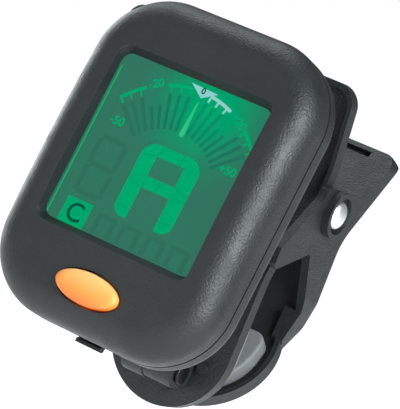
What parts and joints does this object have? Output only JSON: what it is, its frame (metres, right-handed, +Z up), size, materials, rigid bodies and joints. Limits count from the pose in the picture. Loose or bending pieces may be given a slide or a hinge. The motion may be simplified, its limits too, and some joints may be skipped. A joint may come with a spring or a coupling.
{
  "type": "clip-on instrument tuner",
  "caption": "Clip-on tuner: a thin rounded head with a lit display, carried by a tilting arm and a swivel on a sprung clip with rubber-faced jaws.",
  "frame": {"origin": "centre of the front rubber pad's gripping face, which is the fixed jaw of the clip", "axes": "+Z up along the fixed jaw's flat plate, +Y back from the display through the jaws, +X to the right seen from the display side"},
  "size_m": [0.038, 0.0571, 0.0574],
  "materials": {
    "body_black": "satin moulded black with a fine grain",
    "window_clear": "clear polished acrylic",
    "lcd_glass": "green negative liquid crystal glass",
    "diffuser": "milky acrylic",
    "contact_rubber": "striped conductive rubber",
    "circuit": "green solder mask",
    "chip_black": "moulded epoxy",
    "led_white": "clear lens on white body",
    "switch_body": "black moulded",
    "button_orange": "orange silicone rubber",
    "cell_steel": "nickel plated steel",
    "contact_steel": "plated spring steel",
    "piezo_brass": "rolled brass",
    "ceramic_white": "silvered ceramic",
    "screw_steel": "black-nickel plated",
    "pin_steel": "blackened steel",
    "pad_grey": "matt grey rubber",
    "rivet_steel": "bright nickel plated steel",
    "spring_steel": "spring wire"
  },
  "bodies": {
    "front_clip_jaw": {"front_jaw": "body_black", "front_pad": "pad_grey", "pivot_rivet": "rivet_steel", "torsion_spring": "spring_steel"},
    "rear_clip_jaw": {"rear_jaw": "body_black", "rear_pad": "pad_grey"},
    "swivel": {"turntable": "body_black", "tilt_pin": "pin_steel", "swivel_washer": "screw_steel", "swivel_screw": "screw_steel"},
    "head": {"front_shell": "body_black", "rear_shell": "body_black", "display_window": "window_clear", "lcd_panel": "lcd_glass", "backlight_diffuser": "diffuser", "zebra_connector": "contact_rubber", "circuit_board": "circuit", "control_chip": "chip_black", "backlight_leds": "led_white", "tact_switch": "switch_body", "coin_cell": "cell_steel", "battery_contact_minus": "contact_steel", "battery_contact_plus": "contact_steel", "piezo_disc": "piezo_brass", "piezo_ceramic": "ceramic_white", "case_screws": "screw_steel", "bracket_screws": "screw_steel", "head_bracket": "body_black"},
    "button": {"power_button": "button_orange", "switch_stem": "switch_body"},
    "cover": {"battery_cover": "body_black"}
  },
  "joints": [
    {"name": "jaw_hinge", "type": "hinge", "parent": "front_clip_jaw", "child": "rear_clip_jaw", "pos_m": [0, 0.0066, 0.0276], "axis": [1, 0, 0], "range_deg": [0, 35], "stiffness_Nm_per_rad": 0.07, "springref_deg": -28.65, "deforming": ["torsion_spring"]},
    {"name": "swivel_turn", "type": "hinge", "parent": "front_clip_jaw", "child": "swivel", "pos_m": [0, -0.0036, -0.0018], "axis": [0, 1, 0], "range_deg": [-90, 90]},
    {"name": "head_tilt", "type": "hinge", "parent": "swivel", "child": "head", "pos_m": [0, -0.0076, -0.0024], "axis": [1, 0, 0], "range_deg": [-14, 75]},
    {"name": "power_button_press", "type": "slide", "parent": "head", "child": "button", "axis": [0, 0.9833, -0.1822], "range_m": [0, 0.0004], "stiffness_N_per_m": 2500, "springref_m": -0.0003},
    {"name": "battery_cover_slide", "type": "slide", "parent": "head", "child": "cover", "axis": [0, -0.1822, -0.9833], "range_m": [0, 0.024]}
  ]
}
